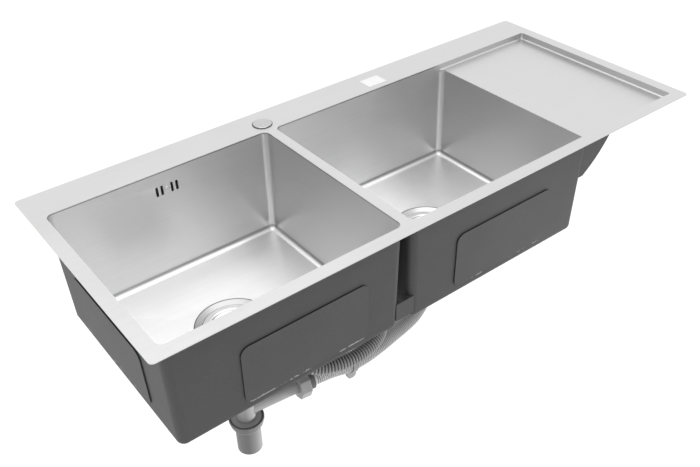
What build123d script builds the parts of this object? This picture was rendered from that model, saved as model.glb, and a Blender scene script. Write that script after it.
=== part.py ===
"""Drop-in stainless kitchen sink: two bowls, a drainboard on the right and the waste kit below.

Frame: +X runs to the drainboard, +Y to the tap ledge, +Z up, in millimetres. The origin is on the
underside of the rim, on the strip between the bowls, so z = 0 is the worktop that the rim rests on.
"""
import os
from math import atan, cos, degrees, pi, radians, sin, tan

from build123d import *

os.makedirs("parts", exist_ok=True)

# ---- deck -------------------------------------------------------------------------------------
deck_w = 1200
deck_d = 500
deck_t = 1.5
deck_left = -475
deck_front = -225
deck_corner_r = 8
rim = 25

# ---- bowls ------------------------------------------------------------------------------------
bowl_w = 440
bowl_d = 400
divider = 20
bowl_depth = 218.5
floor_fall = 2.5
wall_lean = 5
wall_corner_r = 13
floor_bend_r = 12
sheet = 1.2
bowl_x = (bowl_w + divider) / 2
floor_z = -bowl_depth
drain_z = floor_z - floor_fall
flat_margin = 1

# ---- tap hole in the ledge ----------------------------------------------------------------------
tap_hole = (0, 228)
tap_hole_r = 17.5

# ---- drainboard -------------------------------------------------------------------------------
board_depth = 14
board_end = deck_left + deck_w - rim
board_top_z = deck_t - board_depth
board_start = divider / 2 + bowl_w - wall_corner_r
board_overrun = 20
board_bend_r = 4
board_corner_r = 5

# ---- drains -----------------------------------------------------------------------------------
left_drain = (-235, -3)
right_drain = (230, -3)
recess_r = 70
recess_margin = 3
seat_r = 59
seat_drop = 5
drain_hole_r = 46
seat_z = drain_z - seat_drop

# ---- waste pipes ------------------------------------------------------------------------------
pipe_r = 16
pipe_wall = 2.5
cup_bottom_z = -312
branch_z = -441.5
branch_turn = -6.2
waste_hose_r = 17
overflow_hose_r = 14
outlet_r = 25
bell_r = 35
bell_top_z = -463.5
outlet_end_z = -548.5

# ---- overflow ---------------------------------------------------------------------------------
overflow_x = -228.5
overflow_z = -36.5
spigot_y = 218


def keep(piece, label):
    """Name a finished piece and write its STEP file."""
    piece.label = label
    export_step(piece, f"parts/{label}.step")
    print(f"{label:22s} volume {piece.volume:12.1f}  solids {len(piece.solids())}  valid {piece.is_valid}")


def bowl_block(centre_x, grow):
    """The inside of a bowl, or with grow = sheet its outside: leaning walls and a bent floor."""
    half_w = bowl_w / 2 + grow
    half_d = bowl_d / 2 + grow
    bottom = floor_z - grow
    with BuildPart() as block:
        with BuildSketch(Plane.XY):
            with Locations((centre_x, 0)):
                Rectangle(2 * half_w, 2 * half_d)
        with BuildSketch(Plane.XY.offset(bottom)):
            with Locations((centre_x, 0)):
                Rectangle(2 * (half_w - wall_lean), 2 * (half_d - wall_lean))
        loft(ruled=True)
        upright = block.edges().filter_by(lambda e: e.bounding_box().size.Z > bowl_depth / 2)
        fillet(upright, wall_corner_r + grow)
        fillet(block.faces().sort_by(Axis.Z)[0].edges(), floor_bend_r + grow)
    return block.part


def floor_pan(centre_x, drain, grow):
    """The part below the flat floor: four creased facets falling to the drain, and its round seat."""
    edge_loss = 2 * (wall_lean + floor_bend_r + flat_margin)
    with BuildPart() as pan:
        with BuildSketch(Plane.XY.offset(floor_z - grow)):
            with Locations((centre_x, 0)):
                Rectangle(bowl_w - edge_loss, bowl_d - edge_loss)
        with BuildSketch(Plane.XY.offset(drain_z - grow)):
            with Locations(drain):
                Rectangle(2 * (recess_r + recess_margin), 2 * (recess_r + recess_margin))
        loft(ruled=True)
        with BuildSketch(Plane.XY.offset(drain_z - grow)):
            with Locations(drain):
                Circle(recess_r + grow)
        with BuildSketch(Plane.XY.offset(seat_z - grow)):
            with Locations(drain):
                Circle(seat_r + grow)
        loft(ruled=True)
    return pan.part


def board_tray(grow):
    """The drainboard's hollow, or with grow = deck_t its outside; it runs on over the bowl's edge."""
    start = board_start - board_overrun
    end = board_end + grow
    half_d = bowl_d / 2 + grow
    with BuildPart() as tray:
        with BuildSketch(Plane.XY.offset(board_top_z - grow)):
            with Locations(((start + end) / 2, 0)):
                Rectangle(end - start, 2 * half_d)
        extrude(amount=deck_t - board_top_z + grow)
        upright = tray.edges().filter_by(Axis.Z).filter_by(lambda e: e.center().X > board_start)
        fillet(upright, board_corner_r + grow)
        foot = tray.faces().sort_by(Axis.Z)[0].edges()
        fillet(foot.filter_by(lambda e: e.center().X > start + 1), board_bend_r + grow)
    return tray.part


left_inside = bowl_block(-bowl_x, 0)
right_inside = bowl_block(bowl_x, 0)
left_outside = bowl_block(-bowl_x, sheet)
right_outside = bowl_block(bowl_x, sheet)

# ---- deck plate: rim, divider, tap ledge and the pressed drainboard ------------------------------
with BuildPart() as deck_plate:
    add(board_tray(deck_t))
    with BuildSketch(Plane.XY.offset(board_top_z - 2 * deck_t)):
        with Locations((board_start - board_overrun, 0)):
            Rectangle(2 * board_overrun, deck_d)
    extrude(amount=board_depth + 2 * deck_t, mode=Mode.SUBTRACT)
    split(bisect_by=Plane.XY.offset(deck_t), keep=Keep.BOTTOM)
    with BuildSketch(Plane.XY):
        with Locations((deck_left + deck_w / 2, deck_front + deck_d / 2)):
            RectangleRounded(deck_w, deck_d, deck_corner_r)
        with Locations((-bowl_x, 0), (bowl_x, 0)):
            RectangleRounded(bowl_w, bowl_d, wall_corner_r, mode=Mode.SUBTRACT)
        with Locations(tap_hole):
            Circle(tap_hole_r, mode=Mode.SUBTRACT)
    extrude(amount=deck_t)
    add(board_tray(0), mode=Mode.SUBTRACT)
    add(right_inside, mode=Mode.SUBTRACT)
keep(deck_plate.part, "deck_plate")

# ---- foam sealing strip stuck under the rim, just outside the worktop's cut-out ---------------------
seal_strip_t = 1.5
seal_inset = 2
seal_w = 6
seal_inner = seal_inset + seal_w
with BuildPart() as rim_seal:
    with BuildSketch(Plane.XY):
        with Locations((deck_left + deck_w / 2, deck_front + deck_d / 2)):
            RectangleRounded(deck_w - 2 * seal_inset, deck_d - 2 * seal_inset, deck_corner_r - seal_inset)
            RectangleRounded(deck_w - 2 * seal_inner, deck_d - 2 * seal_inner, 1, mode=Mode.SUBTRACT)
    extrude(amount=-seal_strip_t)
keep(rim_seal.part, "rim_seal")

# ---- left bowl, with the overflow slots in its back wall -------------------------------------------
slot_w = 5
slot_h = 20
slot_pitch = 10
screw_hole_r = 2.7
wall_reach = 15


def bowl_shell(centre_x, inside, outside, drain):
    """A pressed bowl: walls, creased floor and round drain seat with its hole."""
    with BuildPart() as shell:
        add(outside)
        add(floor_pan(centre_x, drain, sheet))
        add(inside, mode=Mode.SUBTRACT)
        add(floor_pan(centre_x, drain, 0), mode=Mode.SUBTRACT)
        with BuildSketch(Plane.XY.offset(seat_z)):
            with Locations(drain):
                Circle(drain_hole_r)
        extrude(amount=2 * sheet, both=True, mode=Mode.SUBTRACT)
    return shell.part


with BuildPart() as left_bowl:
    add(bowl_shell(-bowl_x, left_inside, left_outside, left_drain))
    with BuildSketch(Plane.XZ.offset(wall_reach - bowl_d / 2)):
        with Locations(*[(overflow_x + k * slot_pitch, overflow_z) for k in (-2, -1, 1, 2)]):
            SlotOverall(slot_h, slot_w, rotation=90)
        with Locations((overflow_x, overflow_z)):
            Circle(screw_hole_r)
    extrude(amount=-2 * wall_reach, mode=Mode.SUBTRACT)
keep(left_bowl.part, "left_bowl")

# ---- right bowl: its top steps down where the drainboard meets it ----------------------------------
with BuildPart() as right_bowl:
    add(bowl_shell(bowl_x, right_inside, right_outside, right_drain))
    with BuildSketch(Plane.XY.offset(board_top_z - deck_t)):
        with Locations(((board_start + board_end) / 2, 0)):
            Rectangle(board_end - board_start, deck_d)
    extrude(amount=board_depth, mode=Mode.SUBTRACT)
keep(right_bowl.part, "right_bowl")

# ---- tie plates: folded channels between the two bowls, at the front and at the back ----------------
tie_top_z = -165.5
tie_h = 37
tie_w = 40
tie_gap = 20
tie_web_y = 195
tie_leg = 14
tie_t = 2


def tie_plate(side):
    """A channel whose web faces the front (side -1) or the back (side 1) and whose legs lie on the bowls."""
    with BuildPart() as tie:
        with BuildSketch(Plane.XY.offset(tie_top_z)):
            with Locations((0, side * (tie_web_y + tie_t - tie_leg / 2))):
                Rectangle(tie_w, tie_leg)
            with Locations((0, side * (tie_web_y - tie_leg / 2))):
                Rectangle(tie_gap, tie_leg, mode=Mode.SUBTRACT)
        extrude(amount=-tie_h)
        add(left_outside, mode=Mode.SUBTRACT)
        add(right_outside, mode=Mode.SUBTRACT)
    return tie.part


for side, place in ((-1, "front"), (1, "rear")):
    keep(tie_plate(side), f"tie_plate_{place}")

# ---- gussets: curved brackets that carry the drainboard off the bowl's wall -------------------------
gusset_root = 430
gusset_reach = 531
gusset_mid = (498.5, -60)
gusset_foot = (456, -97)
gusset_y = 196
gusset_flange = 16
gusset_flange_end = gusset_reach - 8


def gusset(side):
    """A web with a curved free edge, and a flange under the drainboard."""
    under_board = board_top_z - deck_t
    with BuildPart() as bracket:
        with BuildSketch(Plane.XZ.offset(-side * gusset_y)):
            with BuildLine():
                Polyline((gusset_root, gusset_foot[1]), (gusset_root, under_board), (gusset_reach, under_board))
                ThreePointArc((gusset_reach, under_board), gusset_mid, gusset_foot)
                Line(gusset_foot, (gusset_root, gusset_foot[1]))
            make_face()
        extrude(amount=side * tie_t)
        with BuildSketch(Plane.XY.offset(under_board)):
            with Locations(((gusset_root + gusset_flange_end) / 2, side * (gusset_y - gusset_flange / 2))):
                Rectangle(gusset_flange_end - gusset_root, gusset_flange)
        extrude(amount=-tie_t)
        add(right_outside, mode=Mode.SUBTRACT)
    return bracket.part


for side, place in ((-1, "front"), (1, "rear")):
    keep(gusset(side), f"gusset_{place}")

# ---- sound pads: thick rounded sheets stuck flat on the bowls' walls --------------------------------
pad_t = 2.5
pad_corner_r = 16


def wall_pad(centre_x, outside, plane, middle, size):
    """A pad of the given size on one leaning wall: the skin around the bowl, cut to the pad's outline."""
    with BuildPart() as pad:
        with BuildSketch(plane):
            with Locations(middle):
                RectangleRounded(*size, pad_corner_r)
        extrude(amount=2 * wall_reach)
        add(bowl_block(centre_x, sheet + pad_t), mode=Mode.INTERSECT)
        add(outside, mode=Mode.SUBTRACT)
    return pad.part


bowls_end = bowl_x + bowl_w / 2
front_wall = Plane.XZ.offset(bowl_d / 2 - wall_reach)
left_wall = Plane(origin=(wall_reach - bowls_end, 0, 0), x_dir=(0, -1, 0), z_dir=(-1, 0, 0))
right_wall = Plane(origin=(bowls_end - wall_reach, 0, 0), x_dir=(0, 1, 0), z_dir=(1, 0, 0))
left_front_pad = (246, 119)
right_front_pad = (241, 118)
left_side_pad = (240, 114)
right_side_pad = (240, 100)
keep(wall_pad(-bowl_x, left_outside, front_wall, (-207, -138), left_front_pad), "pad_left_front")
keep(wall_pad(-bowl_x, left_outside, left_wall, (-6, -134), left_side_pad), "pad_left_side")
keep(wall_pad(bowl_x, right_outside, front_wall, (236.5, -139), right_front_pad), "pad_right_front")
keep(wall_pad(bowl_x, right_outside, right_wall, (-6, -150), right_side_pad), "pad_right_side")

# ---- drain fittings: seals, strainer body, cup, clamp screw and the lift-out basket ------------------
flange_r = 57
flange_t = 1
flange_lip = 0.4
flange_lip_w = 1.5
seal_t = 1.2
gasket_h = 3
body_r = 45
body_t = 0.9
body_bend = 4
body_floor_t = 1.2
body_floor_z = -257
body_hole_rings = ((32, 16, 3.6), (20, 10, 3.4))
cup_rim_r = 60
cup_rim_h = 4
cup_r = 50.5
cup_wall = 3
cup_shoulder_z = -268
cup_neck_z = -290
neck_r = 20
spider_z = cup_neck_z + 14
spider_h = 12
spider_boss_r = 8
spider_arm = (45, 3)
seat_under_z = seat_z - sheet
cup_top_z = seat_under_z - gasket_h
flange_z = seat_z + seal_t
basket_floor_z = -252.5
basket_t = 0.8
basket_hole_r = 2.2
basket_hole_rings = ((27, 20), (21, 16), (15, 10))
basket_rim_r = 43.6
basket_floor_r = 31
knob_r = 11
screw_r = 3
screw_head_r = 6.5
screw_head_h = 2.4
loose = 0.3
tight = 0.05


def turned(drain, points):
    """A solid of revolution about a drain's axis, from (radius, height) corners."""
    axis_plane = Plane(origin=(drain[0], drain[1], 0), x_dir=(1, 0, 0), z_dir=(0, -1, 0))
    with BuildPart() as solid:
        with BuildSketch(axis_plane):
            with BuildLine():
                Polyline(*points, close=True)
            make_face()
        revolve(axis=Axis((drain[0], drain[1], 0), (0, 0, 1)))
    return solid.part


def ring(drain, inner, outer, low, high):
    """A plain ring about a drain's axis."""
    return turned(drain, [(inner, low), (outer, low), (outer, high), (inner, high)])


def strainer_body(drain):
    """Flange and cup in one, with a lip round the flange and two rings of holes in the floor."""
    top = flange_z + flange_t
    inner_floor = body_floor_z + body_floor_t
    with BuildPart() as body:
        add(turned(drain, [
            (0, body_floor_z), (body_r - body_bend, body_floor_z), (body_r, body_floor_z + body_bend),
            (body_r, flange_z), (flange_r, flange_z), (flange_r, top - flange_lip),
            (flange_r - flange_lip_w, top + flange_lip), (body_r + 2, top), (body_r - body_t, top - 1.4),
            (body_r - body_t, body_floor_z + body_bend + flange_lip),
            (body_r - body_bend - flange_lip, inner_floor), (0, inner_floor)]))
        with BuildSketch(Plane.XY.offset(body_floor_z)):
            with Locations(drain):
                Circle(screw_r + loose)
                for ring_r, holes, hole_r in body_hole_rings:
                    with PolarLocations(ring_r, holes):
                        Circle(hole_r)
        extrude(amount=body_floor_t, mode=Mode.SUBTRACT)
    return body.part


def drain_cup(drain):
    """The cup under the bowl: rim, side wall, cone and neck, with a boss on three ribs for the screw."""
    inner = cup_r - cup_wall
    neck_in = neck_r - cup_wall
    with BuildPart() as cup:
        add(turned(drain, [
            (inner, cup_top_z), (cup_rim_r, cup_top_z), (cup_rim_r, cup_top_z - cup_rim_h),
            (cup_r, cup_top_z - 1.5 * cup_rim_h), (cup_r, cup_shoulder_z), (neck_r, cup_neck_z),
            (neck_r, cup_bottom_z), (neck_in, cup_bottom_z), (neck_in, cup_neck_z + 1),
            (inner, cup_shoulder_z + 1)]))
        with BuildSketch(Plane.XY.offset(spider_z)):
            with Locations(drain):
                with PolarLocations(spider_arm[0] / 2 + screw_r / 2, 3):
                    Rectangle(*spider_arm)
                Circle(spider_boss_r)
        extrude(amount=spider_h)
        with BuildSketch(Plane.XY.offset(spider_z)):
            with Locations(drain):
                Circle(screw_r + tight)
        extrude(amount=spider_h, mode=Mode.SUBTRACT)
    return cup.part


def basket(drain):
    """The lift-out strainer: a perforated dish with a rolled rim and a knob to lift it by."""
    top = flange_z - 1
    low = basket_floor_z
    with BuildPart() as dish:
        add(turned(drain, [
            (0, low), (basket_floor_r, low), (basket_floor_r + 5, low + 5), (basket_floor_r + 7, top - 2),
            (basket_rim_r - 0.4, top - 1), (basket_rim_r, top), (basket_rim_r - 1, top + basket_t),
            (basket_floor_r + 6.2, top - 1), (basket_floor_r + 4.2, low + 5.4),
            (basket_floor_r - 0.4, low + basket_t), (10, low + basket_t), (6, low + 3), (3, low + 3),
            (3, top - 9), (knob_r - 2, top - 6), (knob_r, top - 3.5), (knob_r - 2, top - 1.5), (0, top - 1)]))
        with BuildSketch(Plane.XY.offset(basket_floor_z)):
            with Locations(drain):
                for ring_r, holes in basket_hole_rings:
                    with PolarLocations(ring_r, holes):
                        Circle(basket_hole_r)
        extrude(amount=basket_t, mode=Mode.SUBTRACT)
    return dish.part


screw_top = body_floor_z + body_floor_t
for place, drain in (("left", left_drain), ("right", right_drain)):
    keep(ring(drain, drain_hole_r + 1, flange_r - 1, seat_z, flange_z), f"{place}_flange_seal")
    keep(strainer_body(drain), f"{place}_strainer_body")
    keep(ring(drain, cup_r - 2.5, cup_rim_r - 2, cup_top_z, seat_under_z), f"{place}_cup_gasket")
    keep(basket(drain), f"{place}_basket")
    keep(ring(drain, 12, 24, screw_top + loose, basket_floor_z), f"{place}_basket_seal")
    keep(turned(drain, [
        (0, spider_z - 4), (screw_r, spider_z - 4), (screw_r, screw_top), (screw_head_r, screw_top),
        (screw_head_r, screw_top + screw_head_h / 2), (screw_head_r - 1.5, screw_top + screw_head_h),
        (0, screw_top + screw_head_h)]), f"{place}_clamp_screw")

# ---- waste pipes: cups, slip nuts, tee, outlet socket -------------------------------------------------
port_turn = -45
port_dip = -30
port_root_z = -248
port_r = 11
port_bore_r = 8.5
port_start = 44
port_end = 83.5
port_hose = 86
port_nut_start = 70.5
port_nut_r = 18
nut_lip = 2.5
nut_ribs = 12
nut_rib = (3, 4)


def slip_nut(end_plane, bore_r, lip_r, outer_r, length):
    """A ribbed nut on the given plane: it grows along the plane's normal, its lip at the far end."""
    with BuildPart() as nut:
        with BuildSketch(end_plane):
            Circle(outer_r - nut_rib[0] / 2)
            with PolarLocations(outer_r - nut_rib[0] / 2, nut_ribs):
                Rectangle(*nut_rib)
        extrude(amount=length)
        with BuildSketch(end_plane):
            Circle(bore_r)
        extrude(amount=length - nut_lip, mode=Mode.SUBTRACT)
        with BuildSketch(end_plane):
            Circle(lip_r)
        extrude(amount=length, mode=Mode.SUBTRACT)
    return nut.part


port_dir = Vector(
    cos(radians(port_turn)) * cos(radians(port_dip)),
    sin(radians(port_turn)) * cos(radians(port_dip)),
    sin(radians(port_dip)))
port_root = Vector(left_drain[0], left_drain[1], port_root_z)


def port_plane(distance):
    """The plane across the overflow port, at a distance from the cup's axis."""
    return Plane(origin=port_root + port_dir * distance, z_dir=port_dir)


with BuildPart() as left_drain_cup:
    add(drain_cup(left_drain))
    with BuildSketch(port_plane(port_start)):
        Circle(port_r)
    extrude(amount=port_end - port_start)
    with BuildSketch(port_plane(port_start - 2 * cup_wall)):
        Circle(port_bore_r)
    extrude(amount=port_end, mode=Mode.SUBTRACT)
keep(left_drain_cup.part, "left_drain_cup")
keep(drain_cup(right_drain), "right_drain_cup")
port_nut_plane = port_plane(port_nut_start)
port_nut_l = port_hose - port_nut_start
keep(slip_nut(port_nut_plane, port_r + loose, port_bore_r, port_nut_r, port_nut_l), "overflow_port_nut")

tail_top_z = -300
tail_nut_z = -298
tail_nut_h = 24
tail_nut_r = 27.5
washer_taper = 2.5
for place, drain in (("left", left_drain), ("right", right_drain)):
    under_nut = Plane(origin=(drain[0], drain[1], tail_nut_z), x_dir=(1, 0, 0), z_dir=(0, 0, -1))
    keep(slip_nut(under_nut, neck_r + loose, pipe_r + loose, tail_nut_r, tail_nut_h), f"{place}_tail_nut")
    washer_low = tail_nut_z - tail_nut_h + nut_lip
    washer_r = neck_r - tight
    keep(turned(drain, [
        (pipe_r + tight, washer_low), (washer_r, washer_low), (washer_r, cup_bottom_z - washer_taper),
        (neck_r - washer_taper, cup_bottom_z), (pipe_r + tight, cup_bottom_z)]), f"{place}_tail_washer")

branch_start = Vector(left_drain[0], left_drain[1], branch_z)
branch_dir = Vector(cos(radians(branch_turn)), sin(radians(branch_turn)), 0)
nut_start = 111
cuff_start = 134
cuff_end = 148
cuff_r = 21
tee_boss_r = 18.5
tee_boss_h = 42
tee_boss_edge_r = 1.5
tee_end_z = bell_top_z - 18


def branch_plane(distance):
    """The plane across the tee's branch, at a distance from the tee's axis."""
    return Plane(origin=branch_start + branch_dir * distance, z_dir=branch_dir)


with BuildPart() as tee:
    with BuildSketch(Plane.XY.offset(tail_top_z)):
        with Locations(left_drain):
            Circle(pipe_r)
    extrude(amount=tee_end_z - tail_top_z)
    with BuildSketch(Plane.XY.offset(branch_z - tee_boss_h / 2)):
        with Locations(left_drain):
            Circle(tee_boss_r)
    extrude(amount=tee_boss_h)
    boss_edges = tee.edges().filter_by(GeomType.CIRCLE).filter_by(lambda e: e.radius > pipe_r + 1)
    fillet(boss_edges, tee_boss_edge_r)
    with BuildSketch(branch_plane(0)):
        Circle(pipe_r)
    extrude(amount=cuff_start - 1)
    with BuildSketch(Plane.XY.offset(tail_top_z)):
        with Locations(left_drain):
            Circle(pipe_r - pipe_wall)
    extrude(amount=tee_end_z - tail_top_z, mode=Mode.SUBTRACT)
    with BuildSketch(branch_plane(0)):
        Circle(pipe_r - pipe_wall)
    extrude(amount=cuff_start, mode=Mode.SUBTRACT)
keep(tee.part, "waste_tee")

branch_nut_r = 31
branch_nut_sides = 8
branch_nut_corner_r = 4
branch_nut_edge_r = 1.2
cuff_edge_r = 1.5
with BuildPart() as branch_nut:
    with BuildSketch(branch_plane(nut_start)):
        RegularPolygon(branch_nut_r, branch_nut_sides)
    extrude(amount=cuff_start - nut_start)
    fillet(branch_nut.edges().filter_by(lambda e: abs((e % 0.5).dot(branch_dir)) > 0.99), branch_nut_corner_r)
    nut_ends = branch_nut.faces().filter_by(lambda f: abs(f.normal_at().dot(branch_dir)) > 0.99)
    fillet(nut_ends.edges(), branch_nut_edge_r)
    with BuildSketch(branch_plane(nut_start)):
        Circle(pipe_r + loose)
    extrude(amount=cuff_start - nut_start, mode=Mode.SUBTRACT)
keep(branch_nut.part, "branch_nut")
with BuildPart() as branch_cuff:
    with BuildSketch(branch_plane(cuff_start)):
        Circle(cuff_r)
        Circle(pipe_r - pipe_wall, mode=Mode.SUBTRACT)
    extrude(amount=cuff_end - cuff_start)
    cuff_rims = branch_cuff.edges().filter_by(GeomType.CIRCLE).filter_by(lambda e: e.radius > pipe_r)
    fillet(cuff_rims, cuff_edge_r)
keep(branch_cuff.part, "branch_cuff")

bell_lip_h = 5.5
bell_body_r = bell_r - 2
bell_body_h = 15
bell_cone_h = 10
bell_bore_r = 30.2
groove_r = 32.5
groove_h = 3
bell_body_z = bell_top_z - bell_body_h
cone_end_z = bell_body_z - bell_cone_h
keep(turned(left_drain, [
    (bell_r, bell_top_z), (bell_r, bell_top_z - bell_lip_h), (bell_body_r, bell_top_z - bell_lip_h - 1.5),
    (bell_body_r - 0.5, bell_body_z), (outlet_r + 1.5, cone_end_z), (outlet_r, cone_end_z - 3),
    (outlet_r, outlet_end_z), (outlet_r - pipe_wall, outlet_end_z), (outlet_r - pipe_wall, cone_end_z + 1),
    (bell_bore_r, bell_body_z - 0.5), (bell_bore_r, bell_top_z - groove_h), (groove_r, bell_top_z - groove_h),
    (groove_r, bell_top_z)]), "outlet_pipe")
keep(ring(left_drain, bell_bore_r, groove_r - 0.1, bell_top_z - groove_h + 0.1, bell_top_z - 0.4), "bell_seal")
keep(ring(left_drain, pipe_r + tight, bell_bore_r - 0.1, bell_body_z, bell_top_z - 1.5), "reducer_bush")

tail_cuff_z = -358
tail_cuff_r = 19.5
right_hose_z = -378
keep(turned(right_drain, [
    (pipe_r, tail_top_z), (pipe_r, tail_cuff_z), (tail_cuff_r, tail_cuff_z - 2), (tail_cuff_r, right_hose_z),
    (pipe_r - pipe_wall, right_hose_z), (pipe_r - pipe_wall, tail_top_z)]), "right_tail_pipe")

# ---- overflow: gasket, housing and screw behind the slots ----------------------------------------------
outer_slope = wall_lean / (bowl_depth + sheet)
wall_tilt = degrees(atan(outer_slope))
wall_y = bowl_d / 2 + sheet + outer_slope * overflow_z
wall_plane = Plane(
    origin=(overflow_x, wall_y, overflow_z), x_dir=(1, 0, 0),
    z_dir=(0, cos(radians(wall_tilt)), -sin(radians(wall_tilt))))
housing_w = 62
housing_h = 42
housing_corner_r = 6
housing_deep = 26
housing_wall = 2.5
gasket_band = 5
gasket_t = 2
post_r = 5
spigot_r = 10
spigot_wall = 2
spigot_root_z = overflow_z - housing_h / 2 + 5
spigot_end_z = -88
hose_top_z = -90.5
top_nut_h = 15.5
top_nut_r = 18
housing_screw_r = 2.5
housing_screw_head = (5, 1.8)
housing_screw_reach = 15
screw_slot = (7, 1)
screw_slot_deep = 0.8

with BuildPart() as overflow_gasket:
    with BuildSketch(wall_plane):
        RectangleRounded(housing_w, housing_h, housing_corner_r)
        gap_w = housing_w - 2 * gasket_band
        gap_h = housing_h - 2 * gasket_band
        RectangleRounded(gap_w, gap_h, housing_corner_r / 2, mode=Mode.SUBTRACT)
    extrude(amount=gasket_t)
keep(overflow_gasket.part, "overflow_gasket")

with BuildPart() as overflow_housing:
    with BuildSketch(wall_plane.offset(gasket_t)):
        RectangleRounded(housing_w, housing_h, housing_corner_r)
    extrude(amount=housing_deep)
    with BuildSketch(Plane.XY.offset(spigot_root_z)):
        with Locations((overflow_x, spigot_y)):
            Circle(spigot_r)
    extrude(amount=spigot_end_z - spigot_root_z)
    with BuildSketch(wall_plane.offset(gasket_t)):
        inner_w = housing_w - 2 * housing_wall
        inner_h = housing_h - 2 * housing_wall
        RectangleRounded(inner_w, inner_h, housing_corner_r - housing_wall)
    extrude(amount=housing_deep - housing_wall, mode=Mode.SUBTRACT)
    with BuildSketch(wall_plane.offset(gasket_t)):
        Circle(post_r)
    extrude(amount=housing_deep - housing_wall)
    with BuildSketch(Plane.XY.offset(spigot_root_z + 1)):
        with Locations((overflow_x, spigot_y)):
            Circle(spigot_r - spigot_wall)
    extrude(amount=spigot_end_z - spigot_root_z - 1, mode=Mode.SUBTRACT)
    with BuildSketch(wall_plane):
        Circle(housing_screw_r + tight)
    extrude(amount=gasket_t + housing_screw_reach + 3, mode=Mode.SUBTRACT)
keep(overflow_housing.part, "overflow_housing")

head_r, head_h = housing_screw_head
with BuildPart() as overflow_screw:
    with BuildSketch(wall_plane.offset(-sheet)):
        Circle(head_r)
    extrude(amount=-head_h)
    fillet(overflow_screw.faces().sort_by(Axis.Y)[0].edges(), 1)
    with BuildSketch(wall_plane.offset(-sheet)):
        Circle(housing_screw_r)
    extrude(amount=sheet + gasket_t + housing_screw_reach)
    with BuildSketch(wall_plane.offset(-sheet - head_h)):
        Rectangle(*screw_slot)
        Rectangle(*reversed(screw_slot))
    extrude(amount=screw_slot_deep, mode=Mode.SUBTRACT)
keep(overflow_screw.part, "overflow_screw")

over_nut = Plane(origin=(overflow_x, spigot_y, hose_top_z + top_nut_h), x_dir=(1, 0, 0), z_dir=(0, 0, -1))
keep(slip_nut(over_nut, spigot_r + loose, spigot_r - spigot_wall, top_nut_r, top_nut_h), "overflow_top_nut")

# ---- hoses ------------------------------------------------------------------------------------------------
cuff_face = branch_start + branch_dir * cuff_end
cuff_run = 42
waste_route = [
    cuff_face.to_tuple(),
    (cuff_face + branch_dir * cuff_run).to_tuple(),
    (-3, -27, -453),
    (38, -26.5, -455.5),
    (82, -23, -453),
    (126, -17, -450),
    (164, -11.5, -448),
    (192, -8, -443),
    (216.5, -4.6, -429),
    (230, -3, -404),
    (230, -3, right_hose_z),
]
port_face = port_root + port_dir * port_hose
port_run = 38
overflow_route = [
    port_face.to_tuple(),
    (port_face + port_dir * port_run).to_tuple(),
    (-128, -106, -321.5),
    (-88, -121, -323),
    (-44, -124, -322.5),
    (0, -115, -322),
    (36, -91, -323),
    (54, -50, -324.5),
    (50, -2, -324),
    (24, 38, -322),
    (-15, 68, -319.5),
    (-59, 93, -315.5),
    (-103, 119, -309.5),
    (-145, 149, -300.5),
    (-183, 183, -281.5),
    (-211, 209, -248.5),
    (-225, 219, -206.5),
    (-228, 219.5, -161.5),
    (-228.5, 218, -116.5),
    (overflow_x, spigot_y, hose_top_z),
]


def corner_radii(points):
    """The largest arc that each corner's two runs leave room for: 0.45 of the shorter run on each side."""
    radii = []
    for before, corner, after in zip(points, points[1:], points[2:]):
        run_in = Vector(*corner) - Vector(*before)
        run_out = Vector(*after) - Vector(*corner)
        turn = radians(run_in.get_angle(run_out))
        radii.append(0.45 * min(run_in.length, run_out.length) / tan(turn / 2))
    return radii


def hose_path(points):
    """Straight runs joined by tangent arcs, as one wire."""
    with BuildLine() as route:
        FilletPolyline(*points, radius=corner_radii(points))
    return route.wires()[0]


def hose(path, radius):
    """A hose as a plain round tube along its path."""
    with BuildPart() as tube:
        with BuildSketch(Plane(origin=path @ 0, z_dir=path % 0)):
            Circle(radius)
        sweep(path=path)
    return tube.part


for label, route_points, radius in (
        ("waste_hose", waste_route, waste_hose_r), ("overflow_hose", overflow_route, overflow_hose_r)):
    path = hose_path(route_points)
    keep(hose(path, radius), label)
    print(f"  length {path.length:.1f}, section times length {path.length * pi * radius ** 2:.1f}")
    print("  radii", [round(r) for r in corner_radii(route_points)])

# ---- clip on the waste hose: a split ring with a tab that hangs below --------------------------------------
clip_along = 0.26
clip_half_w = 6
clip_r = 19.8
clip_tab = (22, 32)
clip_tab_r = 9
clip_tab_half_t = 4
clip_drop = 23
clip_gap = 0.4
waste_path = hose_path(waste_route)
clip_at = waste_path @ clip_along
clip_plane = Plane(origin=clip_at, z_dir=waste_path % clip_along)
tab_plane = Plane(origin=(clip_at.X, clip_at.Y, clip_at.Z - clip_drop), x_dir=(1, 0, 0), z_dir=(0, -1, 0))
with BuildPart() as hose_clip:
    with BuildSketch(clip_plane):
        Circle(clip_r)
    extrude(amount=clip_half_w, both=True)
    with BuildSketch(tab_plane):
        RectangleRounded(*clip_tab, clip_tab_r)
    extrude(amount=clip_tab_half_t, both=True)
    with BuildSketch(clip_plane):
        Circle(waste_hose_r + clip_gap)
    extrude(amount=4 * clip_half_w, both=True, mode=Mode.SUBTRACT)
keep(hose_clip.part, "hose_clip")

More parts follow.
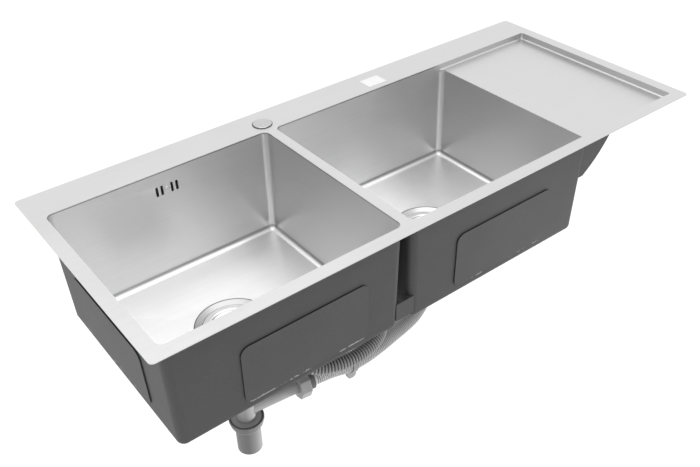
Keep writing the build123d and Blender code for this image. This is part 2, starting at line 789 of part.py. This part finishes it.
# ---- tap-hole cap and the blank plate on the ledge -----------------------------------------------------------
cap_r = 20
cap_h = 2.6
cap_slope = 2.4
cap_edge = 0.8
cap_stud_r = 5
cap_stud_end_z = -30
cap_plug_r = tap_hole_r - 0.7
cap_washer_r = 22
cap_washer_t = 3
wing_r = 9
wing = (44, 4)
wing_h = 10
keep(turned(tap_hole, [
    (0, cap_stud_end_z), (cap_stud_r, cap_stud_end_z), (cap_stud_r, 0.2), (cap_plug_r, 0.2),
    (cap_plug_r, deck_t), (cap_r, deck_t), (cap_r, deck_t + cap_edge), (cap_r - cap_slope, deck_t + cap_h),
    (0, deck_t + cap_h)]), "tap_hole_cap")
keep(ring(tap_hole, cap_stud_r + loose, cap_washer_r, -cap_washer_t, 0), "cap_washer")
with BuildPart() as cap_nut:
    with BuildSketch(Plane.XY.offset(-cap_washer_t - wing_h)):
        with Locations(tap_hole):
            Circle(wing_r)
            Rectangle(*wing)
            Circle(cap_stud_r + tight, mode=Mode.SUBTRACT)
    extrude(amount=wing_h)
    wing_tips = cap_nut.edges().filter_by(Axis.Z).filter_by(lambda e: abs(e.center().X) > 2 * wing_r)
    fillet(wing_tips, 1.5)
keep(cap_nut.part, "cap_wing_nut")

plate_at = (280, 231)
plate_size = (46, 34)
plate_corner_r = 1
plate_t = 0.3
with BuildPart() as blank_plate:
    with BuildSketch(Plane.XY.offset(deck_t)):
        with Locations(plate_at):
            RectangleRounded(*plate_size, plate_corner_r)
    extrude(amount=plate_t)
keep(blank_plate.part, "blank_plate")
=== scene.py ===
"""The looks of a drop-in kitchen sink: brushed steel, sprayed coating, moulded plastic and ribbed hoses.

Row frame, in metres: +X towards the drainboard, +Y towards the back ledge, z = 0 on the rim's underside.
"""
import math

import bpy
from mathutils import Matrix, Vector


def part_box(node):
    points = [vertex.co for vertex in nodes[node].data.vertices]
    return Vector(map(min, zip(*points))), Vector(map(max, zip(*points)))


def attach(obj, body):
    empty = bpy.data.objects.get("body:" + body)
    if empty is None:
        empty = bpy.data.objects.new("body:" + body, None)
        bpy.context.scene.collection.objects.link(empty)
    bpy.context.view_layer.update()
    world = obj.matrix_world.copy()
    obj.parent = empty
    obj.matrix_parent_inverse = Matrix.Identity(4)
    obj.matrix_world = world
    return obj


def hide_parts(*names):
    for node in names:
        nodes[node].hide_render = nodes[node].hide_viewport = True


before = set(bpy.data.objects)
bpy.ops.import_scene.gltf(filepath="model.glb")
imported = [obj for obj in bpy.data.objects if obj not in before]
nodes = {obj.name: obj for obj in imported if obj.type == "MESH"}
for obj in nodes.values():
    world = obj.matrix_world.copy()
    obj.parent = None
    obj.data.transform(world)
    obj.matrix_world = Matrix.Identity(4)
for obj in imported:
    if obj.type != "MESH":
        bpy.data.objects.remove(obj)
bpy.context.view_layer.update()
scene = bpy.context.scene
scene.view_settings.view_transform = "Standard"

# ---- camera ---------------------------------------------------------------------------------------
camera_data = bpy.data.cameras.new("camera")
camera_data.lens = 43.65          # mm, on a sensor of the next line's width
camera_data.sensor_width = 36
camera_data.clip_end = 100
camera = bpy.data.objects.new("camera", camera_data)
scene.collection.objects.link(camera)
cam_right = Vector((0.7870, -0.61657, -0.02173))
cam_up = Vector((0.37973, 0.45634, 0.80471))
cam_ahead = Vector((0.48624, 0.64156, -0.59328))
cam_place = (-0.7464, -1.0287, 0.8027)
turn = Matrix((cam_right, cam_up, -cam_ahead)).transposed()
camera.matrix_world = Matrix.Translation(cam_place) @ turn.to_4x4()
scene.camera = camera

# ---- sizes from the frame -----------------------------------------------------------------------------
def middle_of(node):
    low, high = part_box(node)
    return (low + high) / 2


drains = {"left": middle_of("left_strainer_body"), "right": middle_of("right_strainer_body")}
bowl_middle_x = {"left": -0.23, "right": 0.23}
bowl_middle_z = -0.1
recess_r = 0.07         # the pressed seat round a drain
flange_seam_r = 0.0568
basket_seam_r = 0.0432
cap_seam_r = 0.0195
stretch = 0.55          # how far brushing draws out the steel's reflections


# ---- node graphs ----------------------------------------------------------------------------------------
class Graph:
    """A material under construction: one Principled shader, and short calls that add nodes before it."""

    mix_colours = (6, 7)    # the colour sockets of a Mix node, whose first ones are for numbers
    mix_result = 2

    def __init__(self, name):
        self.material = bpy.data.materials.new(name)
        self.material.use_nodes = True
        self.tree = self.material.node_tree
        self.tree.nodes.clear()
        out = self.tree.nodes.new("ShaderNodeOutputMaterial")
        self.shader = self.tree.nodes.new("ShaderNodeBsdfPrincipled")
        self.tree.links.new(self.shader.outputs[0], out.inputs["Surface"])
        self.place = self.add("ShaderNodeTexCoord").outputs["Object"]
        self.facing = self.add("ShaderNodeNewGeometry").outputs["Normal"]

    def add(self, kind, **settings):
        node = self.tree.nodes.new(kind)
        for key, value in settings.items():
            setattr(node, key, value)
        return node

    def plug(self, socket, value):
        if isinstance(value, bpy.types.NodeSocket):
            self.tree.links.new(value, socket)
        else:
            socket.default_value = value

    def calc(self, operation, a, b=0.0, clamp=False):
        node = self.add("ShaderNodeMath", operation=operation, use_clamp=clamp)
        self.plug(node.inputs[0], a)
        self.plug(node.inputs[1], b)
        return node.outputs[0]

    def vector(self, operation, a, b, out="Vector"):
        node = self.add("ShaderNodeVectorMath", operation=operation)
        self.plug(node.inputs[0], a)
        self.plug(node.inputs[1], b)
        return node.outputs[out]

    def split(self, vector):
        node = self.add("ShaderNodeSeparateXYZ")
        self.plug(node.inputs[0], vector)
        return node.outputs

    def join(self, x, y, z):
        node = self.add("ShaderNodeCombineXYZ")
        for socket, value in zip(node.inputs, (x, y, z)):
            self.plug(socket, value)
        return node.outputs[0]

    def noise(self, vector, scale, detail=2.0, rough=0.5):
        node = self.add("ShaderNodeTexNoise")
        self.plug(node.inputs["Vector"], vector)
        node.inputs["Scale"].default_value = scale
        node.inputs["Detail"].default_value = detail
        node.inputs["Roughness"].default_value = rough
        return node.outputs["Fac"]

    def ramp(self, value, low, high, to_low=0.0, to_high=1.0):
        node = self.add("ShaderNodeMapRange")
        for socket, number in zip(node.inputs, (value, low, high, to_low, to_high)):
            self.plug(socket, number)
        return node.outputs[0]

    def blend(self, factor, a, b):
        """Colour a where factor is 0, b where it is 1."""
        node = self.add("ShaderNodeMix", data_type="RGBA")
        self.plug(node.inputs["Factor"], factor)
        self.plug(node.inputs[self.mix_colours[0]], a)
        self.plug(node.inputs[self.mix_colours[1]], b)
        return node.outputs[self.mix_result]

    def number(self, factor, a, b):
        """Number a where factor is 0, b where it is 1."""
        node = self.add("ShaderNodeMix", data_type="FLOAT")
        self.plug(node.inputs[0], factor)
        self.plug(node.inputs[2], a)
        self.plug(node.inputs[3], b)
        return node.outputs[0]

    def scaled(self, vector, factors):
        return self.vector("MULTIPLY", vector, factors)

    def spread(self, fac, amount):
        """A noise's usual range, 0.3 to 0.7, turned into minus amount to amount."""
        return self.ramp(fac, 0.3, 0.7, -amount, amount)

    def distance_out(self, middle):
        """How far a point is from the upright axis through middle, and the flat vector to it."""
        out = self.scaled(self.vector("SUBTRACT", self.place, tuple(middle)), (1.0, 1.0, 0.0))
        return self.vector("LENGTH", out, (0.0, 0.0, 0.0), "Value"), out

    def bump(self, height, strength, distance):
        node = self.add("ShaderNodeBump")
        node.inputs["Strength"].default_value = strength
        node.inputs["Distance"].default_value = distance
        self.plug(node.inputs["Height"], height)
        return node.outputs[0]

    def set(self, **sockets):
        for name, value in sockets.items():
            self.plug(self.shader.inputs[name.replace("_", " ")], value)


def grey(value):
    """A neutral colour of one linear level."""
    return (value, value, value, 1.0)


def brushed(g, base, rough):
    """Grain along X, or along Y on walls that face X: colour, roughness, grain height and tangent."""
    n = g.split(g.facing)
    along_y = g.calc("GREATER_THAN", g.calc("ABSOLUTE", n[0]), 0.75)
    grain_long, grain_fine = 7, 900
    streak_long, streak_fine = 2.2, 170
    grain_x = g.noise(g.scaled(g.place, (grain_long, grain_fine, grain_fine)), 1.0, 3, 0.65)
    grain_y = g.noise(g.scaled(g.place, (grain_fine, grain_long, grain_fine)), 1.0, 3, 0.65)
    streak_x = g.noise(g.scaled(g.place, (streak_long, streak_fine, streak_fine)), 1.0, 3, 0.6)
    streak_y = g.noise(g.scaled(g.place, (streak_fine, streak_long, streak_fine)), 1.0, 3, 0.6)
    grain = g.number(along_y, grain_x, grain_y)
    streak = g.number(along_y, streak_x, streak_y)
    cloud = g.noise(g.place, 4.5, 3, 0.55)
    tone = g.calc("ADD", g.spread(grain, 0.03), g.spread(streak, 0.012))
    tone = g.calc("ADD", tone, g.spread(cloud, 0.02))
    colour = g.blend(g.calc("ADD", tone, 0.5), grey(base * 0.6), grey(base * 1.4))
    patchy = g.ramp(cloud, 0.35, 0.65, rough - 0.035, rough + 0.035)
    roughness = g.calc("ADD", g.spread(grain, 0.03), patchy)
    level = g.calc("ABSOLUTE", n[2])
    across = g.join(0.0, level, g.calc("SUBTRACT", 1.0, level))
    return colour, roughness, grain, across


def coating(g):
    """Matt sprayed coating, speckled and faintly patchy: colour, roughness and height."""
    base = 0.053
    speck = g.noise(g.place, 900, 2, 0.7)
    grain = g.noise(g.place, 330, 3, 0.75)
    patch = g.noise(g.place, 16, 4, 0.6)
    tone = g.calc("ADD", g.spread(speck, 0.14), g.ramp(patch, 0.35, 0.65, -0.05, 0.05))
    tone = g.calc("ADD", tone, g.spread(grain, 0.12))
    colour = g.blend(g.calc("ADD", tone, 0.5), grey(base * 0.55), grey(base * 1.45))
    roughness = g.ramp(speck, 0.3, 0.7, 0.5, 0.68)
    return colour, roughness, speck


def steel_material(name, base, rough):
    """Brushed steel sheet."""
    g = Graph(name)
    colour, roughness, grain, across = brushed(g, base, rough)
    g.set(Base_Color=colour, Metallic=1.0, Roughness=roughness, Anisotropic=stretch, Tangent=across)
    g.set(Normal=g.bump(grain, 0.12, 0.0003))
    return g.material


def bowl_material(side, base, back_wall_shade, side_wall_shade):
    """Brushed steel inside a bowl and coating outside, told apart by whether a face looks at its middle.

    The last two arguments say how much of the floor's tone the walls that face Y and X keep: painted shade on
    the walls.
    """
    g = Graph(side + "_bowl_skin")
    steel, steel_rough, grain, across = brushed(g, base, 0.36)

    def share(part):
        return g.scaled(steel, (part, part, part))

    facing = g.split(g.facing)
    upright_x = g.ramp(g.calc("ABSOLUTE", facing[0]), 0.3, 0.95)
    slope = g.calc("ABSOLUTE", facing[2])
    # Painted shade: the walls keep only a share of the floor's tone, those facing X the least.
    walls = g.blend(upright_x, share(back_wall_shade), share(side_wall_shade))
    steel = g.blend(g.ramp(slope, 0.3, 0.95), walls, steel)
    # Painted shade: the fillets between the walls and the floor are darkened.
    bend_shade = g.calc("MULTIPLY", g.ramp(slope, 0.12, 0.3), g.ramp(slope, 0.55, 0.8, 1.0, 0.0))
    steel = g.blend(bend_shade, steel, share(0.6))
    radius, _ = g.distance_out(drains[side])
    # Painted shade: the pressed recess round the drain is darkened, with a darker line along its crease.
    steel = g.blend(g.ramp(radius, recess_r + 0.0003, recess_r - 0.0003), steel, share(0.5))
    off_crease = g.calc("ABSOLUTE", g.calc("SUBTRACT", radius, recess_r - 0.0002))
    steel = g.blend(g.ramp(off_crease, 0.0005, 0.0012, 1.0, 0.0), steel, grey(0.1))
    rim_joint = g.ramp(g.split(g.place)[2], -0.0018, -0.0008)
    steel = g.blend(rim_joint, steel, grey(0.26))

    paint, paint_rough, speck = coating(g)
    out_of_middle = g.vector("SUBTRACT", g.place, (bowl_middle_x[side], 0.0, bowl_middle_z))
    outside = g.calc("GREATER_THAN", g.vector("DOT_PRODUCT", g.facing, out_of_middle, "Value"), 0.0)
    g.set(Base_Color=g.blend(outside, steel, paint), Metallic=g.calc("SUBTRACT", 1.0, outside))
    g.set(Roughness=g.number(outside, steel_rough, paint_rough), Anisotropic=stretch, Tangent=across)
    g.set(Normal=g.bump(g.number(outside, grain, speck), 0.14, 0.0003))
    return g.material


def coated_material(name, wall=None, foot_z=None, sound=None):
    """The sprayed coating.

    On a pad, wall is the normal of the wall it sticks to: faces turned from it are painted dark, as the
    shadow in the groove round the pad's edge. Near foot_z the coating is chipped, less so the higher sound
    is.
    """
    g = Graph(name)
    paint, roughness, speck = coating(g)
    if wall:
        # Painted shade: the pad's edge faces are near black, standing for the shadow in the groove along its
        # edge.
        edge_shade = g.calc("LESS_THAN", g.vector("DOT_PRODUCT", g.facing, wall, "Value"), 0.6)
        paint = g.blend(edge_shade, paint, grey(0.012))
        height = g.split(g.place)[2]
        ragged = g.ramp(g.noise(g.place, 300, 3, 0.6), 0.3, 0.7, -0.001, 0.0015)
        near = g.calc("LESS_THAN", g.calc("ADD", height, ragged), foot_z + 0.0028)
        loose = g.ramp(g.noise(g.place, 13, 2, 0.5), 0.4, 0.6, 0.12, -0.12)
        torn = g.calc("GREATER_THAN", g.calc("ADD", g.noise(g.place, 75, 4, 0.75), loose), sound)
        paint = g.blend(g.calc("MULTIPLY", near, torn), paint, grey(0.3))
    g.set(Base_Color=paint, Roughness=roughness, Normal=g.bump(speck, 0.3, 0.0004))
    return g.material


def turned_material(name, middle, base, rough, seam_r):
    """Steel polished on a lathe: rings round the upright axis through middle, and a dark seam at seam_r."""
    g = Graph(name)
    radius, out = g.distance_out(middle)
    rings = g.noise(g.join(radius, 0.0, 0.0), 2600, 2, 0.6)
    smear = g.noise(g.place, 40, 3, 0.6)
    tone = g.calc("ADD", g.ramp(rings, 0.3, 0.7, 0.42, 0.58), g.spread(smear, 0.05))
    colour = g.blend(tone, grey(base * 0.7), grey(base * 1.3))
    off_seam = g.calc("ABSOLUTE", g.calc("SUBTRACT", radius, seam_r))
    colour = g.blend(g.ramp(off_seam, 0.0005, 0.0011, 1.0, 0.0), colour, grey(0.07))
    g.set(Base_Color=colour, Metallic=1.0)
    g.set(Roughness=g.ramp(smear, 0.3, 0.7, rough - 0.05, rough + 0.08), Anisotropic=0.5, Tangent=out)
    g.set(Normal=g.bump(rings, 0.1, 0.0002))
    return g.material


def plastic_material(name, base, rough, mark=0.0):
    """Moulded plastic: a faint cloud, a fine skin, and scuffs as strong as mark says."""
    g = Graph(name)
    skin = g.noise(g.place, 1500, 2, 0.5)
    cloud = g.noise(g.place, 22, 3, 0.6)
    scuff = g.calc("GREATER_THAN", g.noise(g.scaled(g.place, (60, 60, 260)), 1.0, 4, 0.7), 0.66)
    tone = g.ramp(cloud, 0.3, 0.7, 0.42, 0.58)
    colour = g.blend(tone, grey(base * 0.8), grey(base * 1.2))
    colour = g.blend(g.calc("MULTIPLY", scuff, mark), colour, grey(min(base * 1.6, 0.9)))
    g.set(Base_Color=colour, Roughness=g.ramp(skin, 0.3, 0.7, rough - 0.05, rough + 0.07))
    g.set(Normal=g.bump(skin, 0.12, 0.0002))
    return g.material


def rubber_material(name):
    """Black rubber with a little dust."""
    base = 0.022
    g = Graph(name)
    dust = g.noise(g.place, 140, 4, 0.65)
    g.set(Base_Color=g.blend(g.ramp(dust, 0.45, 0.75), grey(base), grey(base * 2.4)))
    g.set(Roughness=g.ramp(dust, 0.3, 0.7, 0.6, 0.8), Normal=g.bump(dust, 0.15, 0.0003))
    return g.material


def hose_material(name, low, high):
    """Ribbed plastic: painted shade in the grooves and a painted highlight on the ribs' tops, with a faint
    random cloud.
    """
    g = Graph(name)
    rib = g.add("ShaderNodeAttribute", attribute_name="rib").outputs["Fac"]
    cloud = g.noise(g.place, 35, 3, 0.6)
    # Painted shade and highlight: low in the grooves, high on the ribs' tops, from the rib attribute.
    tone = g.calc("ADD", g.ramp(rib, 0.1, 0.9), g.spread(cloud, 0.08), clamp=True)
    g.set(Base_Color=g.blend(tone, grey(low), grey(high)), Roughness=g.ramp(cloud, 0.3, 0.7, 0.38, 0.5))
    g.set(Normal=g.bump(g.noise(g.place, 900, 2, 0.5), 0.1, 0.0002))
    return g.material


def dress(material, *names):
    """Give CAD nodes' objects a material."""
    for name in names:
        for slot in nodes[name].material_slots:
            slot.link = "OBJECT"
            slot.material = material


dress(steel_material("deck_steel", 0.58, 0.37), "deck_plate")
# Both bowls are the same steel: their different floor levels and wall shares are painted light and shade.
dress(bowl_material("left", 0.91, 0.84, 0.67), "left_bowl")
dress(bowl_material("right", 0.99, 0.79, 0.57), "right_bowl")
dress(coated_material("coating"), "tie_plate_front", "tie_plate_rear", "gusset_front", "gusset_rear")
chipped, sound = 0.49, 0.64
front, left, right = (0.0, -1.0, 0.0), (-1.0, 0.0, 0.0), (1.0, 0.0, 0.0)
for name, wall, condition in (
        ("pad_left_front", front, chipped), ("pad_right_front", front, sound),
        ("pad_left_side", left, sound), ("pad_right_side", right, sound)):
    dress(coated_material(name + "_coating", wall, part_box(name)[0].z, condition), name)
for side, drain in drains.items():
    dress(turned_material(side + "_flange_steel", drain, 0.66, 0.3, flange_seam_r),
          side + "_strainer_body", side + "_clamp_screw")
    dress(turned_material(side + "_basket_steel", drain, 0.7, 0.24, basket_seam_r), side + "_basket")
dress(turned_material("cap_steel", middle_of("tap_hole_cap"), 0.5, 0.3, cap_seam_r), "tap_hole_cap")
dress(steel_material("screw_steel", 0.75, 0.2), "overflow_screw")
dress(rubber_material("black_rubber"), "rim_seal", "left_flange_seal", "right_flange_seal", "left_cup_gasket",
      "right_cup_gasket", "left_basket_seal", "right_basket_seal", "left_tail_washer", "right_tail_washer",
      "bell_seal", "overflow_gasket", "cap_washer")
dress(plastic_material("pipe_plastic", 0.27, 0.4, 0.3), "waste_tee", "right_tail_pipe", "left_drain_cup",
      "right_drain_cup", "overflow_housing", "cap_wing_nut")
dress(plastic_material("nut_plastic", 0.27, 0.42, 0.5), "branch_nut", "left_tail_nut", "right_tail_nut",
      "overflow_port_nut", "overflow_top_nut", "hose_clip")
dress(plastic_material("outlet_plastic", 0.125, 0.42, 0.2), "outlet_pipe")
dress(plastic_material("bush_plastic", 0.25, 0.45), "reducer_bush")
dress(plastic_material("cuff_plastic", 0.09, 0.5), "branch_cuff")
dress(plastic_material("plate_foil", 0.66, 0.5), "blank_plate")

# ---- hoses: ribbed tubes on smooth curves ----------------------------------------------------------------
branch_turn = math.radians(-6.2)
branch_out = Vector((math.cos(branch_turn), math.sin(branch_turn), 0.0))
branch_centre = Vector((-0.235, -0.003, -0.4415))
cuff_face, cuff_run = 0.148, 0.042
waste_start = branch_centre + branch_out * cuff_face
waste_route = [
    waste_start, waste_start + branch_out * cuff_run, (-0.003, -0.027, -0.453), (0.038, -0.0265, -0.4555),
    (0.082, -0.023, -0.453), (0.126, -0.017, -0.45), (0.164, -0.0115, -0.448), (0.192, -0.008, -0.443),
    (0.2165, -0.0046, -0.429), (0.23, -0.003, -0.404), (0.23, -0.003, -0.378)]
port_out = Vector((0.61237, -0.61237, -0.5))
port_centre = Vector((-0.235, -0.003, -0.248))
port_face, port_run = 0.086, 0.038
overflow_start = port_centre + port_out * port_face
overflow_route = [
    overflow_start, overflow_start + port_out * port_run, (-0.128, -0.106, -0.3215), (-0.088, -0.121, -0.323),
    (-0.044, -0.124, -0.3225), (0.0, -0.115, -0.322), (0.036, -0.091, -0.323), (0.054, -0.05, -0.3245),
    (0.05, -0.002, -0.324), (0.024, 0.038, -0.322), (-0.015, 0.068, -0.3195), (-0.059, 0.093, -0.3155),
    (-0.103, 0.119, -0.3095), (-0.145, 0.149, -0.3005), (-0.183, 0.183, -0.2815), (-0.211, 0.209, -0.2485),
    (-0.225, 0.219, -0.2065), (-0.228, 0.2195, -0.1615), (-0.2285, 0.218, -0.1165), (-0.2285, 0.218, -0.0905)]


def smooth_line(route):
    """Points along the NURBS curve whose control points are the route's."""
    curve = bpy.data.curves.new("route", "CURVE")
    curve.dimensions = "3D"
    spline = curve.splines.new("NURBS")
    spline.points.add(len(route) - 1)
    for point, corner in zip(spline.points, route):
        point.co = (*corner, 1.0)
    spline.order_u = 3
    spline.use_endpoint_u = True
    spline.resolution_u = 24
    holder = bpy.data.objects.new("route", curve)
    scene.collection.objects.link(holder)
    bpy.context.view_layer.update()
    mesh = bpy.data.meshes.new_from_object(holder)
    line = [vertex.co.copy() for vertex in mesh.vertices]
    bpy.data.objects.remove(holder)
    bpy.data.meshes.remove(mesh)
    return line


def resample(line, count):
    """count + 1 points at even spacing along a line, and the line's length."""
    lengths = [0.0]
    for a, b in zip(line, line[1:]):
        lengths.append(lengths[-1] + (b - a).length)
    total = lengths[-1]
    points = []
    at = 0
    for k in range(count + 1):
        want = total * k / count
        while at < len(line) - 2 and lengths[at + 1] < want:
            at += 1
        share = (want - lengths[at]) / max(lengths[at + 1] - lengths[at], 1e-9)
        points.append(line[at].lerp(line[at + 1], min(max(share, 0.0), 1.0)))
    return points, total


def ribbed_hose(name, route, radius, pitch, depth, sides, cuff):
    """A tube with rounded ribs, plain over its first and last cuff metres, and the points that it follows."""
    steps = 7               # rows of points per rib
    crown = 1.7             # above 1, the ribs are wider than the grooves
    plain = 0.82            # the cuffs' height, as a share of a rib's
    line = smooth_line(route)
    total = resample(line, 2)[1]
    ribs = round(total / pitch)
    points, total = resample(line, ribs * steps)
    side = None
    rows = []
    shades = []
    for k, point in enumerate(points):
        ahead = (points[min(k + 1, len(points) - 1)] - points[max(k - 1, 0)]).normalized()
        if side is None:
            side = ahead.orthogonal().normalized()
        side = (side - ahead * side.dot(ahead)).normalized()
        up = ahead.cross(side)
        wave = 0.5 + 0.5 * math.cos(2 * math.pi * k / steps)
        wave = 1.0 - (1.0 - wave) ** crown
        from_end = min(k, len(points) - 1 - k) * total / (len(points) - 1)
        if from_end < cuff:
            wave = plain
        r = radius - depth * (1.0 - wave)
        shades.append(wave)
        rows.append([point + (side * math.cos(a) + up * math.sin(a)) * r
                     for a in (2 * math.pi * j / sides for j in range(sides))])
    verts = [v for row in rows for v in row]
    faces = []
    for k in range(len(rows) - 1):
        for j in range(sides):
            n = (j + 1) % sides
            faces.append((k * sides + j, k * sides + n, (k + 1) * sides + n, (k + 1) * sides + j))
    faces.append(tuple(reversed(range(sides))))
    faces.append(tuple(range((len(rows) - 1) * sides, len(rows) * sides)))
    mesh = bpy.data.meshes.new(name)
    mesh.from_pydata(verts, [], faces)
    mesh.shade_smooth()
    # The rib attribute holds each row's painted shade and highlight: low in the grooves, high on the ribs'
    # tops.
    shade = mesh.attributes.new("rib", "FLOAT", "POINT")
    shade.data.foreach_set("value", [s for s in shades for _ in range(sides)])
    mesh.update()
    hose = bpy.data.objects.new(name, mesh)
    scene.collection.objects.link(hose)
    return hose, points


waste, waste_points = ribbed_hose(
    "waste_hose_ribbed", waste_route, radius=0.017, pitch=0.0044, depth=0.0019, sides=40, cuff=0.006)
waste.data.materials.append(hose_material("waste_hose_plastic", 0.2, 0.5))
overflow, overflow_points = ribbed_hose(
    "overflow_hose_ribbed", overflow_route, radius=0.014, pitch=0.0058, depth=0.0026, sides=32, cuff=0.006)
overflow.data.materials.append(hose_material("overflow_hose_plastic", 0.04, 0.3))
for piece, node in ((waste, "waste_hose"), (overflow, "overflow_hose")):
    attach(piece, "sink")
    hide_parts(node)

# ---- floor and light --------------------------------------------------------------------------------------
reach = 30
floor_z = -1.5
floor_mesh = bpy.data.meshes.new("floor")
floor_mesh.from_pydata([(-reach, -reach, floor_z), (reach, -reach, floor_z), (reach, reach, floor_z),
                        (-reach, reach, floor_z)], [], [(0, 1, 2, 3)])
floor = bpy.data.objects.new("floor", floor_mesh)
scene.collection.objects.link(floor)
pale = Graph("floor_pale")
pale.set(Base_Color=grey(0.92), Roughness=0.9)
floor_mesh.materials.append(pale.material)

# The studio is bright above and to the right, and dimmer below and to the left.
world = bpy.data.worlds.new("studio")
scene.world = world
world.use_nodes = True
sky_nodes, sky_links = world.node_tree.nodes, world.node_tree.links
backdrop = sky_nodes["Background"]
backdrop.inputs["Color"].default_value = grey(1.0)
sky_place = sky_nodes.new("ShaderNodeTexCoord")
sky_height = sky_nodes.new("ShaderNodeVectorMath")
sky_height.operation = "DOT_PRODUCT"
sky_height.inputs[1].default_value = (0.5, 0.0, 1.0)
sky_level = sky_nodes.new("ShaderNodeMapRange")
for socket, number in zip(("From Min", "From Max", "To Min", "To Max"), (-0.1, 0.75, 0.62, 1.25)):
    sky_level.inputs[socket].default_value = number
sky_links.new(sky_place.outputs["Generated"], sky_height.inputs[0])
sky_links.new(sky_height.outputs["Value"], sky_level.inputs["Value"])
sky_links.new(sky_level.outputs["Result"], backdrop.inputs["Strength"])


def add_lamp(data, place, target, power):
    data.energy = power
    lamp = bpy.data.objects.new(data.name, data)
    lamp.location = place
    lamp.rotation_euler = (Vector(target) - Vector(place)).to_track_quat("-Z", "Y").to_euler()
    scene.collection.objects.link(lamp)


for lamp_name, place, target, size, power in (
        ("key", (-2.6, 0.2, 1.6), (0.0, 0.0, -0.2), (2.0, 2.0), 16),
        ("top", (0.2, 0.4, 3.0), (0.1, 0.0, -0.2), (2.5, 2.0), 25),
        ("low", (1.3, -0.5, -1.1), (-0.2, 0.0, -0.5), (0.6, 0.5), 1.7)):
    softbox = bpy.data.lights.new(lamp_name, "AREA")
    softbox.shape = "RECTANGLE"
    softbox.size, softbox.size_y = size
    add_lamp(softbox, place, target, power)

# A narrow soft spot from the right, which lights the outlet pipe and the tee.
spot = bpy.data.lights.new("outlet", "SPOT")
spot.spot_size = math.radians(11)
spot.spot_blend = 1.0
spot.shadow_soft_size = 0.12
add_lamp(spot, (1.0, -0.8, -0.95), (-0.235, -0.003, -0.54), 260)
